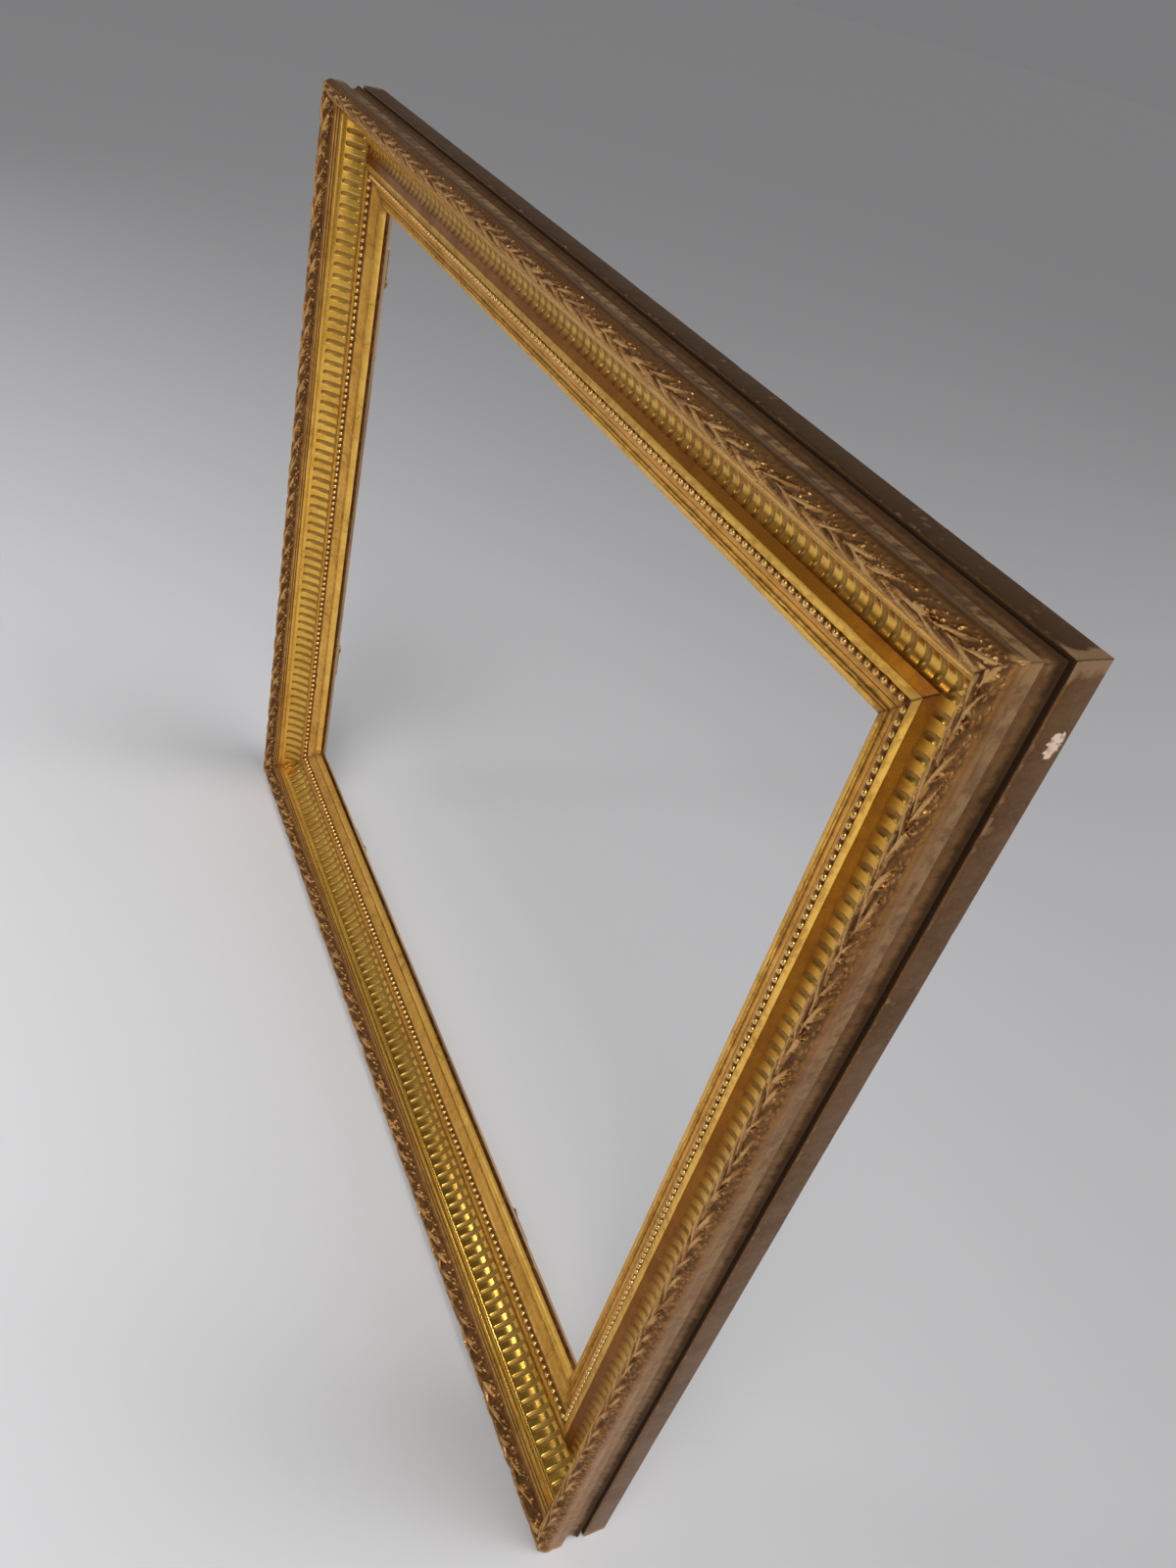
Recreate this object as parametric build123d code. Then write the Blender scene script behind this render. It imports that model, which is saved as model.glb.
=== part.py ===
from build123d import *
from math import cos, radians, sin
import os

# Driving dimensions, in millimetres.
# A section is drawn in (out, up): out from the sight edge, up from the wall face towards the viewer.
sight_width = 490.0
sight_height = 387.0
rebate_lap = 7.5
rebate_depth = 4.5
slip_shoulder = 0.6
slip_shoulder_clearance = 0.2

# Back rail
rail_out = 52.3
rail_band_height = 12.2
rail_step_out = 44.0
rail_seat_height = 9.0
rail_edge_break = 0.8

# Outer corners of the frame
corner_round = 1.5
mitre_angle = 45.0

# Sight slip
slip_width = 12.1
lip_side_height = 2.3
lip_width = 3.9
lip_rise = 3.0
lip_bulge = 0.8
quirk_width = 0.6
quirk_depth = 0.7
slip_fillet_width = 1.0
slip_fillet_rise = 0.6
slip_hollow_rise = 3.3
slip_hollow_sag = 1.0
slip_hollow_step = 0.4

# Bead strip
bead_strip_width = 4.0
bead_bed_height = 1.9
bead_radius = 1.6
bead_standing = 0.5

# Moulding
strip_seat_height = 11.5
fillet_width = 3.1
fillet_height = 15.7
band_width = 3.8
band_height = 15.4
band_fall = 0.8
roll_out = 1.5
roll_rise = 2.1
roll_bulge = 0.5
reed_step = 0.7
reed_out = 1.0
reed_rise = 1.3
reed_bulge = 0.25
reed_count = 2
scotia_edge_set_back = 0.4
scotia_top = 23.5
scotia_bottom = 14.4
scotia_bottom_out = 51.4
scotia_sag = 1.9
outer_band_out = 52.2
outer_band_top = 27.9
groove_out = 48.5

# Cove strip
cove_floor_out = 5.3
cove_floor_height = 13.4
cove_wall_out = 11.1
cove_wall_height = 18.6
cove_rim_out = 13.4
cove_rim_height = 23.5
cove_width = 15.3
cove_top_height = 25.1

# Leaf strip
leaf_crown_out = 49.0
leaf_crown_height = 36.0
leaf_outer_out = 52.6
leaf_outer_height = 30.5
leaf_inner_bulge = 1.3
leaf_outer_bulge = 0.9

# Corner keys and nails
key_depth = 3.0
key_length = 36.0
key_end_width = 16.0
key_waist_width = 9.0
nail_radius = 0.7
nail_height = 5.5
nail_clearance = 0.05
long_nail_out = 22.0
long_nail_lead = 8.0
long_nail_length = 34.0
short_nail_out = 36.0
short_nail_lead = 24.0
short_nail_length = 24.0

# Screws
screw_radius = 1.5
screw_clearance = 0.05
screw_head_radius = 2.9
screw_head_height = 1.5
screw_head_round = 0.7
screw_slot_width = 0.7
screw_slot_depth = 0.6
screw_bite = 5.6
hanger_slot_turn = 35.0
button_slot_turn = 70.0

# Hangers
hanger_drop = 92.0
strap_width = 12.0
strap_length = 36.0
strap_thickness = 1.3
eye_radius = 2.8
ring_wire_radius = 1.2
ring_inner_width = 16.0
ring_side_length = 7.0
ring_clearance = 0.05
hanger_screw_end = 5.0
hanger_screw_spacing = 8.0

# Turn buttons
button_length = 26.0
button_width = 8.0
button_thickness = 1.6
button_inset = 3.4
bottom_button_across = 150.0
upper_button_up = 150.0
lower_button_down = 110.0
button_rail_gap = 0.2
button_head_gap = 0.15
button_bore_clearance = 0.06

# What follows from the driving dimensions
slip_seat_height = rebate_depth + slip_shoulder
shoulder_out = rebate_lap - slip_shoulder_clearance
rail_mid_out = (rebate_lap + rail_out) / 2
centre_height = -(sight_height / 2 + rail_mid_out)
bead_out = slip_width + bead_strip_width / 2
fillet_in = slip_width + bead_strip_width
band_in = fillet_in + fillet_width
cove_in = band_in + band_width
cove_end = cove_in + cove_width
reeds_low = (cove_end + roll_out + reed_step, cove_top_height + roll_rise)
reeds_high = (reeds_low[0] + reed_count * reed_out, reeds_low[1] + reed_count * reed_rise)
cut_margin = 1.0
corner_slack = 0.05

# For each side: its turn from the top side, its sight edge's length, that edge's distance from the middle
side_turns = {"top": 0, "right": 90, "bottom": 180, "left": 270}
side_lengths = {"top": sight_width, "right": sight_height, "bottom": sight_width, "left": sight_height}
side_distances = {side: (sight_width + sight_height - length) / 2 for side, length in side_lengths.items()}

# The line of the two hangers
hanger_up = sight_height / 2 - hanger_drop
hanger_across = {"left": -(sight_width / 2 + rail_mid_out), "right": sight_width / 2 + rail_mid_out}

# Each corner as (right or left, up or down)
corners = {"top_left": (-1, 1), "top_right": (1, 1), "bottom_right": (1, -1), "bottom_left": (-1, -1)}

# Each turn button as (side, place along that side, way that its free end points along the side)
buttons = {
    "upper_left": ("left", upper_button_up, 1),
    "upper_right": ("right", -upper_button_up, -1),
    "lower_right": ("right", lower_button_down, 1),
    "lower_left": ("left", -lower_button_down, -1),
    "bottom_right": ("bottom", -bottom_button_across, -1),
    "bottom_left": ("bottom", bottom_button_across, 1),
}


def bulge_arc(start, end, bulge):
    """An arc whose middle stands off its chord, to the left of the way to the end if bulge is over 0."""
    run_out = end[0] - start[0]
    run_up = end[1] - start[1]
    chord = (run_out ** 2 + run_up ** 2) ** 0.5
    middle_out = (start[0] + end[0]) / 2 - run_up / chord * bulge
    middle_up = (start[1] + end[1]) / 2 + run_out / chord * bulge
    return ThreePointArc(start, (middle_out, middle_up), end)


def outline_face(*curves):
    edges = []
    for curve in curves:
        edges += curve.edges()
    return make_face(edges)


def back_rail_section():
    return outline_face(Polyline(
        (rebate_lap, 0),
        (rail_out - rail_edge_break, 0),
        (rail_out, rail_edge_break),
        (rail_out, rail_band_height - rail_edge_break),
        (rail_out - rail_edge_break, rail_band_height),
        (rail_step_out, rail_band_height),
        (rail_step_out, rail_seat_height),
        (slip_width, rail_seat_height),
        (slip_width, slip_seat_height),
        (rebate_lap, slip_seat_height),
        close=True,
    ))


def sight_slip_section():
    lip_start = (0, rebate_depth + lip_side_height)
    lip_end = (lip_width, lip_start[1] + lip_rise)
    quirk_floor = lip_end[1] - quirk_depth
    quirk_end = lip_width + quirk_width
    fillet_top = lip_end[1] + slip_fillet_rise
    hollow_start = (quirk_end + slip_fillet_width, fillet_top - slip_hollow_step)
    hollow_end = (slip_width, fillet_top + slip_hollow_rise)
    return outline_face(
        bulge_arc(lip_start, lip_end, lip_bulge),
        Polyline(
            lip_end,
            (lip_width, quirk_floor),
            (quirk_end, quirk_floor),
            (quirk_end, fillet_top),
            (hollow_start[0], fillet_top),
            hollow_start,
        ),
        bulge_arc(hollow_start, hollow_end, -slip_hollow_sag),
        Polyline(
            hollow_end,
            (slip_width, slip_seat_height),
            (shoulder_out, slip_seat_height),
            (shoulder_out, rebate_depth),
            (0, rebate_depth),
            lip_start,
        ),
    )


def bead_strip_section():
    bed_top = strip_seat_height + bead_bed_height
    bead_start = (bead_out - bead_radius, bed_top)
    bead_end = (bead_out + bead_radius, bed_top)
    bead_top = (bead_out, bed_top + bead_radius + bead_standing)
    return outline_face(
        ThreePointArc(bead_start, bead_top, bead_end),
        Polyline(
            bead_end,
            (fillet_in, bed_top),
            (fillet_in, strip_seat_height),
            (slip_width, strip_seat_height),
            (slip_width, bed_top),
            bead_start,
        ),
    )


def cove_strip_section():
    start = (cove_in, band_height - band_fall)
    floor = (cove_in + cove_floor_out, cove_floor_height)
    wall = (cove_in + cove_wall_out, cove_wall_height)
    rim = (cove_in + cove_rim_out, cove_rim_height)
    top = (cove_end, cove_top_height)
    return outline_face(
        Spline(start, floor, wall, rim),
        Polyline(rim, top, (cove_end, strip_seat_height), (cove_in, strip_seat_height), start),
    )


def leaf_strip_section():
    crown = (leaf_crown_out, leaf_crown_height)
    outer = (leaf_outer_out, leaf_outer_height)
    return outline_face(
        bulge_arc(reeds_high, crown, leaf_inner_bulge),
        bulge_arc(crown, outer, leaf_outer_bulge),
        Polyline(outer, (outer_band_out, outer_band_top), reeds_high),
    )


def moulding_section():
    scotia_start = (scotia_bottom_out, scotia_bottom)
    scotia_end = (outer_band_out - scotia_edge_set_back, scotia_top)
    under = Polyline(
        (slip_width, strip_seat_height),
        (slip_width, rail_seat_height),
        (rail_step_out, rail_seat_height),
        (rail_step_out, rail_band_height),
        (groove_out, rail_band_height),
        (groove_out, scotia_bottom),
        scotia_start,
    )
    scotia = bulge_arc(scotia_start, scotia_end, scotia_sag)
    outside = Polyline(scotia_end, (outer_band_out, scotia_top), (outer_band_out, outer_band_top), reeds_high)
    reeds = []
    for count in range(reed_count):
        high = (reeds_high[0] - count * reed_out, reeds_high[1] - count * reed_rise)
        low = (high[0] - reed_out, high[1] - reed_rise)
        reeds.append(bulge_arc(high, low, -reed_bulge))
    roll_low = (cove_end, cove_top_height)
    roll_high = (cove_end + roll_out, cove_top_height + roll_rise)
    step = Line(reeds_low, roll_high)
    roll = bulge_arc(roll_high, roll_low, -roll_bulge)
    seats = Polyline(
        roll_low,
        (cove_end, strip_seat_height),
        (cove_in, strip_seat_height),
        (cove_in, band_height - band_fall),
        (band_in, band_height),
        (band_in, fillet_height),
        (fillet_in, fillet_height),
        (fillet_in, strip_seat_height),
        (slip_width, strip_seat_height),
    )
    return outline_face(under, scotia, outside, *reeds, step, roll, seats)


def mitred_length(section, length):
    """A length of one section along X, its sight edge on Z = 0, mitred and with round outer corners."""
    section_plane = Plane(origin=(0, 0, 0), x_dir=(0, 0, 1), z_dir=(1, 0, 0))
    bar = extrude(section_plane * section, amount=length / 2 + leaf_outer_out, both=True)
    reach = leaf_outer_out + corner_slack
    round_start = reach - corner_round
    round_middle = round_start + corner_round * cos(radians(mitre_angle / 2))
    round_rise = round_start + corner_round * sin(radians(mitre_angle / 2))
    round_end = round_start + corner_round * cos(radians(mitre_angle))
    half = length / 2
    near = (half - cut_margin, -cut_margin)
    corner = (half + round_end, round_end)
    arc_middle = (half + round_rise, round_middle)
    flat = (half + round_start, reach)
    outline = outline_face(
        Polyline((-near[0], near[1]), near, corner),
        ThreePointArc(corner, arc_middle, flat),
        Line(flat, (-flat[0], flat[1])),
        ThreePointArc((-flat[0], flat[1]), (-arc_middle[0], arc_middle[1]), (-corner[0], corner[1])),
        Line((-corner[0], corner[1]), (-near[0], near[1])),
    )
    block = extrude(Plane.XZ * outline, amount=leaf_crown_height + cut_margin, both=True)
    return bar & block


def on_side(side, shape):
    """Turns a shape drawn for the top side, with its sight edge on Z = 0, to any side of the frame."""
    return Rot(0, side_turns[side], 0) * Pos(0, 0, side_distances[side]) * shape


def rod(start, direction, radius, length):
    axis = Plane(origin=start, z_dir=direction)
    return axis * Cylinder(radius, length, align=(Align.CENTER, Align.CENTER, Align.MIN))


def corner_key(corner):
    """A double dovetail across one mitre, flush with the back."""
    right, up = corners[corner]
    half = key_length / 2
    outline = Polyline(
        (-half, -key_end_width / 2),
        (0, -key_waist_width / 2),
        (half, -key_end_width / 2),
        (half, key_end_width / 2),
        (0, key_waist_width / 2),
        (-half, key_end_width / 2),
        close=True,
    )
    key = extrude(Plane.XZ * outline_face(outline), amount=key_depth)
    place = (right * (sight_width / 2 + rail_mid_out), 0, up * (sight_height / 2 + rail_mid_out))
    return Pos(*place) * Rot(0, mitre_angle * right * up, 0) * key


def corner_nail_pair(corner, clearance=0.0):
    """Two nails inside the back rails, one across the width and one across the height."""
    right, up = corners[corner]
    radius = nail_radius + clearance
    long_start = (
        right * (sight_width / 2 + long_nail_lead - clearance),
        -nail_height,
        up * (sight_height / 2 + long_nail_out),
    )
    short_start = (
        right * (sight_width / 2 + short_nail_out),
        -nail_height,
        up * (sight_height / 2 + short_nail_lead - clearance),
    )
    return [
        rod(long_start, (right, 0, 0), radius, long_nail_length + 2 * clearance),
        rod(short_start, (0, 0, up), radius, short_nail_length + 2 * clearance),
    ]


def slotted_screw(seat, slot_turn):
    """A round-head screw driven into the back: seat is the point under its head, on its axis."""
    shank_length = seat[1] + screw_bite
    shank = rod(seat, (0, -1, 0), screw_radius, shank_length)
    head = Cylinder(screw_head_radius, screw_head_height, align=(Align.CENTER, Align.CENTER, Align.MIN))
    head = fillet(head.edges().group_by(Axis.Z)[-1], screw_head_round)
    slot = Pos(0, 0, screw_head_height) * Box(3 * screw_head_radius, screw_slot_width, 2 * screw_slot_depth)
    head -= Rot(0, 0, slot_turn) * slot
    return shank + Plane(origin=seat, x_dir=(1, 0, 0), z_dir=(0, 1, 0)) * head


def screw_pilot(seat):
    """The hole that a screw cuts in the rail under its seat."""
    mouth = (seat[0], cut_margin, seat[2])
    return rod(mouth, (0, -1, 0), screw_radius + screw_clearance, cut_margin + screw_bite + screw_clearance)


def hanger_screw_seats(side):
    low = hanger_up - strap_length + hanger_screw_end
    return [(hanger_across[side], strap_thickness, up) for up in (low, low + hanger_screw_spacing)]


def hanger_strap(side):
    """A strap flat on the back, its upper end rolled to an eye for the ring."""
    across = hanger_across[side]
    plate_middle = (across, strap_thickness / 2, hanger_up - strap_length / 2)
    plate = Pos(*plate_middle) * Box(strap_width, strap_thickness, strap_length)
    eye = rod((across - strap_width / 2, eye_radius, hanger_up), (1, 0, 0), eye_radius, strap_width)
    bore_start = (across - strap_width, eye_radius, hanger_up)
    bore = rod(bore_start, (1, 0, 0), ring_wire_radius + ring_clearance, 2 * strap_width)
    strap = plate + eye - bore
    for seat in hanger_screw_seats(side):
        mouth = (seat[0], -cut_margin, seat[2])
        strap -= rod(mouth, (0, 1, 0), screw_radius + screw_clearance, strap_thickness + 2 * cut_margin)
    return strap


def hanger_ring(side):
    """A wire ring that hangs from the eye: a straight leg, two sides and a half-round bow."""
    half = ring_inner_width / 2 + ring_wire_radius
    ring = rod((-half, 0, 0), (1, 0, 0), ring_wire_radius, 2 * half)
    for way in (-1, 1):
        ring += Pos(way * half, 0, 0) * Sphere(ring_wire_radius)
        ring += rod((way * half, 0, 0), (0, 0, -1), ring_wire_radius, ring_side_length)
    wire_end = Plane(origin=(half, 0, -ring_side_length), z_dir=(0, 0, 1)) * Circle(ring_wire_radius)
    bow_axis = Axis((0, 0, -ring_side_length), (0, 1, 0))
    ring += revolve(wire_end, bow_axis, 180)
    return Pos(hanger_across[side], eye_radius, hanger_up) * ring


def button_point(name, reach):
    """The point on the back face that lies this far from a turn button's pivot towards its free end."""
    side, along, way = buttons[name]
    return on_side(side, Location((along + way * reach, 0, slip_width + button_inset))).position


def turn_button(name):
    """A flat plate with round ends that turns on a screw near one end, parked along the rail."""
    pivot = button_point(name, 0)
    direction = button_point(name, button_length) - pivot
    plate = extrude(SlotOverall(button_length, button_width), amount=button_thickness)
    plate = Pos((button_length - button_width) / 2, 0, 0) * plate
    plate -= Cylinder(screw_radius + button_bore_clearance, 4 * button_thickness)
    seat = Plane(origin=(pivot.X, button_rail_gap, pivot.Z), x_dir=direction, z_dir=(0, 1, 0))
    return seat * plate


def button_screw_seat(name):
    pivot = button_point(name, 0)
    return (pivot.X, button_rail_gap + button_thickness + button_head_gap, pivot.Z)


def export_node(name, *solids):
    """Writes one node, moved from the middle of the sight opening to the part's own frame."""
    placed = [Pos(0, 0, centre_height) * solid for solid in solids]
    node = placed[0] if len(placed) == 1 else Compound(children=placed)
    export_step(node, os.path.join("parts", name + ".step"))


os.makedirs("parts", exist_ok=True)

keys = {corner: corner_key(corner) for corner in corners}
hanger_seats = hanger_screw_seats("left") + hanger_screw_seats("right")
button_seats = [button_screw_seat(name) for name in buttons]

rail_cuts = list(keys.values())
for corner in corners:
    rail_cuts += corner_nail_pair(corner, nail_clearance)
for seat in hanger_seats + button_seats:
    rail_cuts.append(screw_pilot(seat))

for side, length in side_lengths.items():
    rail = on_side(side, mitred_length(back_rail_section(), length))
    export_node(side + "_back_rail", rail - rail_cuts)
    export_node(side + "_moulding", on_side(side, mitred_length(moulding_section(), length)))
    export_node(side + "_sight_slip", on_side(side, mitred_length(sight_slip_section(), length)))
    export_node(side + "_bead_strip", on_side(side, mitred_length(bead_strip_section(), length)))
    export_node(side + "_cove_strip", on_side(side, mitred_length(cove_strip_section(), length)))
    export_node(side + "_leaf_strip", on_side(side, mitred_length(leaf_strip_section(), length)))

for corner, key in keys.items():
    export_node(corner + "_corner_key", key)
export_node("corner_nails", *[nail for corner in corners for nail in corner_nail_pair(corner)])

for side in ("left", "right"):
    export_node(side + "_hanger_strap", hanger_strap(side))
    export_node(side + "_hanger_ring", hanger_ring(side))
export_node("hanger_screws", *[slotted_screw(seat, hanger_slot_turn) for seat in hanger_seats])

for name in buttons:
    export_node(name + "_turn_button", turn_button(name))
export_node("turn_button_screws", *[slotted_screw(seat, button_slot_turn) for seat in button_seats])
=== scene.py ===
from math import hypot, pi, radians, sin, sqrt

import bmesh
import bpy
import numpy as np
from mathutils import Matrix, Vector, noise


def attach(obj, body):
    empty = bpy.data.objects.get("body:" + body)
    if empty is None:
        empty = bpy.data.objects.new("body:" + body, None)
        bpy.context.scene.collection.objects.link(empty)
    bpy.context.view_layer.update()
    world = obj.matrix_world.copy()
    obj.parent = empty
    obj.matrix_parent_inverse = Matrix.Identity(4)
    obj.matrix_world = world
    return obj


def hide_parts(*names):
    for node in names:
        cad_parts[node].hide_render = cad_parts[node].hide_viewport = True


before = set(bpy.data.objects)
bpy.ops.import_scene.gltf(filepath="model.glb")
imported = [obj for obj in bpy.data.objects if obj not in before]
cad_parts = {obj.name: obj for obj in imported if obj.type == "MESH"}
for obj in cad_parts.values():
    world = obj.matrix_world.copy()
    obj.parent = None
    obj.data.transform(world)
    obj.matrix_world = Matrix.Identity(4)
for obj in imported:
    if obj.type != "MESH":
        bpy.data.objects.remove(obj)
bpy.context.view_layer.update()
# The vector noise is taken from the clock unless it is seeded.
noise_seed = 7
noise.seed_set(noise_seed)

# Sizes in millimetres: out from the sight edge, up from the wall face, along from the middle of a side.
MM = 0.001
sight_width = 490.0
sight_height = 387.0
sight_centre = -223.4
frame_reach = 52.65
corner_round = 1.5
side_turns = {"top": 0.0, "right": 90.0, "bottom": 180.0, "left": 270.0}
side_lengths = {"top": sight_width, "right": sight_height, "bottom": sight_width, "left": sight_height}
side_distances = {"top": sight_height / 2, "right": sight_width / 2,
                  "bottom": sight_height / 2, "left": sight_width / 2}
# Each side reads the wear patterns in a place of its own, this many metres along.
pattern_starts = {"top": 1.0, "right": 3.0, "bottom": 5.0, "left": 7.0}
# The running leaves point up on the sides and one way on the top and bottom.
leaf_directions = {"top": 1, "right": -1, "bottom": -1, "left": 1}


# Small helpers for shader trees

def put(tree, kind, values=None, **settings):
    """One node, with its settings, and its sockets linked or set."""
    node = tree.nodes.new(kind)
    for name, setting in settings.items():
        setattr(node, name, setting)
    for socket, value in (values or {}).items():
        if isinstance(value, bpy.types.NodeSocket):
            tree.links.new(value, node.inputs[socket])
        else:
            node.inputs[socket].default_value = value
    return node


def sum_up(tree, operation, first, second=0.0, third=0.0, clamp=False):
    """One step of arithmetic on values."""
    node = put(tree, "ShaderNodeMath", {0: first, 1: second, 2: third},
               operation=operation, use_clamp=clamp)
    return node.outputs[0]


def rise(tree, value, low, high, bottom=0.0, top=1.0):
    """A soft step from bottom to top while the value goes from low to high."""
    node = put(tree, "ShaderNodeMapRange", {0: value, 1: low, 2: high, 3: bottom, 4: top},
               interpolation_type="SMOOTHSTEP")
    return node.outputs[0]


def blend(tree, share, first, second):
    """A colour between the first, at a share of 0, and the second, at 1."""
    node = put(tree, "ShaderNodeMix", {0: share, 6: first, 7: second}, data_type="RGBA")
    return node.outputs[2]


def grain(tree, vector, scale, detail=2.0, roughness=0.5):
    """Noise from 0 to 1."""
    node = put(tree, "ShaderNodeTexNoise",
               {"Vector": vector, "Scale": scale, "Detail": detail, "Roughness": roughness})
    return node.outputs[0]


def stretch(tree, vector, along, across, deep=1.0):
    """The place scaled by its own amount on each axis."""
    node = put(tree, "ShaderNodeMapping", {"Vector": vector, "Scale": (along, across, deep)})
    return node.outputs[0]


def shared_effect(name, inputs, outputs):
    """An empty node group with named sockets, and its input and output nodes."""
    group = bpy.data.node_groups.new(name, "ShaderNodeTree")
    kinds = {"float": "NodeSocketFloat", "vector": "NodeSocketVector", "colour": "NodeSocketColor"}
    for socket, kind in inputs.items():
        group.interface.new_socket(name=socket, in_out="INPUT", socket_type=kinds[kind])
    for socket, kind in outputs.items():
        group.interface.new_socket(name=socket, in_out="OUTPUT", socket_type=kinds[kind])
    return group, group.nodes.new("NodeGroupInput").outputs, group.nodes.new("NodeGroupOutput")


def hand_out(group, result, **values):
    for name, value in values.items():
        group.links.new(value, result.inputs[name])


def gilding_effect():
    """Old leaf over bole and gesso: tone, a painted amber shade, burnish streaks, cracks, rubbed edges,
    grime and painted shade in the hollows.
    """
    group, given, result = shared_effect(
        "aged_gilding",
        {"Bar": "vector", "Edge": "float", "Leaf": "colour", "Deep": "colour", "Bole": "colour",
         "Dirt": "colour", "Amber shade": "float", "Rub": "float", "Grime": "float", "Cracks": "float",
         "Polish": "float"},
        {"Colour": "colour", "Roughness": "float", "Metal": "float", "Height": "float"})
    bar = given["Bar"]
    patches = grain(group, bar, 38.0, 4.0, 0.6)
    mottle = grain(group, bar, 210.0, 3.0, 0.6)
    streaks = grain(group, stretch(group, bar, 0.05, 1.0), 1300.0, 2.0, 0.6)
    tone = sum_up(group, "ADD", sum_up(group, "MULTIPLY", patches, 0.55),
                  sum_up(group, "ADD", sum_up(group, "MULTIPLY", mottle, 0.3),
                         sum_up(group, "MULTIPLY", streaks, 0.25)))
    deeper = rise(group, tone, 0.42, 0.72)
    colour = blend(group, deeper, given["Leaf"], given["Deep"])
    # Painted shade and warm reflection: where asked, the gold is multiplied to a dark amber.
    colour = put(group, "ShaderNodeMix", {0: given["Amber shade"], 6: colour, 7: (0.36, 0.235, 0.12, 1.0)},
                 data_type="RGBA", blend_type="MULTIPLY").outputs[2]
    # Fine cracks run across the side, as gesso cracks with the wood's movement.
    cells = put(group, "ShaderNodeTexVoronoi",
                {"Vector": stretch(group, bar, 1.0, 0.3, 0.0), "Scale": 130.0},
                feature="DISTANCE_TO_EDGE").outputs["Distance"]
    cracked = sum_up(group, "MULTIPLY", rise(group, cells, 0.03, 0.0),
                     rise(group, patches, 0.45, 0.6))
    cracked = sum_up(group, "MULTIPLY", cracked, given["Cracks"])
    colour = blend(group, cracked, colour, given["Dirt"])
    # Leaf rubbed through on edges, and near the mitres, where the frame was handled.
    mitre = put(group, "ShaderNodeSeparateXYZ", {0: bar}).outputs[2]
    handled = rise(group, mitre, 0.008, 0.0, 0.0, 0.95)
    worn = sum_up(group, "ADD", given["Edge"], sum_up(group, "MULTIPLY_ADD", mottle, 1.6, -0.8))
    worn = sum_up(group, "ADD", sum_up(group, "ADD", worn, handled),
                  sum_up(group, "MULTIPLY_ADD", patches, 0.8, -0.4))
    rubbed = sum_up(group, "MULTIPLY", rise(group, worn, 0.5, 0.95), given["Rub"])
    colour = blend(group, rubbed, colour, given["Bole"])
    # Dirt settles in the hollows, in a thin line at each mitre, and as specks; the hollows also take the
    # painted shade that some pieces set in their edge values.
    hollow = sum_up(group, "MULTIPLY_ADD", mottle, 0.7, -0.35)
    hollow = sum_up(group, "SUBTRACT", hollow, given["Edge"])
    soiled = sum_up(group, "MULTIPLY", rise(group, hollow, 0.05, 0.75), given["Grime"])
    joint = rise(group, mitre, 0.0007, 0.0001, 0.0, 0.6)
    specks = sum_up(group, "MULTIPLY", rise(group, grain(group, bar, 620.0, 1.0), 0.68, 0.75),
                    rise(group, patches, 0.45, 0.7, 0.05, 0.6))
    specks = sum_up(group, "MULTIPLY", specks, given["Grime"])
    soiled = sum_up(group, "MAXIMUM", soiled, sum_up(group, "MAXIMUM", joint, specks))
    colour = blend(group, soiled, colour, given["Dirt"])
    rough = sum_up(group, "MULTIPLY_ADD", deeper, 0.10, given["Polish"])
    rough = sum_up(group, "MULTIPLY_ADD", rubbed, 0.18, rough)
    rough = sum_up(group, "MULTIPLY_ADD", soiled, 0.35, rough, clamp=True)
    metal = sum_up(group, "MULTIPLY_ADD", soiled, -0.45, 1.0)
    metal = sum_up(group, "MULTIPLY_ADD", rubbed, -0.2, metal, clamp=True)
    height = sum_up(group, "MULTIPLY_ADD", mottle, 0.5, sum_up(group, "MULTIPLY", streaks, 0.12))
    height = sum_up(group, "MULTIPLY_ADD", cracked, -1.0, height)
    height = sum_up(group, "MULTIPLY_ADD", specks, -0.3, height)
    hand_out(group, result, Colour=colour, Roughness=rough, Metal=metal, Height=height)
    return group


def pine_effect():
    """Bare softwood: long growth lines, fine pores, brown with age."""
    group, given, result = shared_effect(
        "aged_pine", {"Along": "vector", "Pale": "colour", "Dark": "colour"},
        {"Colour": "colour", "Roughness": "float", "Height": "float"})
    along = given["Along"]
    drift = grain(group, stretch(group, along, 0.6, 4.0, 4.0), 9.0, 2.0)
    lines = grain(group, stretch(group, along, 0.028, 0.6, 1.0), 330.0, 2.0, 0.55)
    lines = rise(group, lines, 0.36, 0.66)
    pores = grain(group, stretch(group, along, 0.04, 1.0, 1.0), 1600.0, 2.0)
    stain = grain(group, along, 21.0, 4.0, 0.65)
    share = sum_up(group, "MULTIPLY_ADD", lines, 0.38, sum_up(group, "MULTIPLY", stain, 0.6))
    share = sum_up(group, "ADD", share, sum_up(group, "MULTIPLY_ADD", drift, 0.4, -0.3))
    colour = blend(group, rise(group, share, 0.15, 0.85), given["Pale"], given["Dark"])
    colour = blend(group, rise(group, pores, 0.6, 0.75, 0.0, 0.55), colour, given["Dark"])
    rough = sum_up(group, "MULTIPLY_ADD", stain, 0.2, 0.58, clamp=True)
    height = sum_up(group, "MULTIPLY_ADD", lines, 0.35, sum_up(group, "MULTIPLY", pores, -0.6))
    hand_out(group, result, Colour=colour, Roughness=rough, Height=height)
    return group


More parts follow.
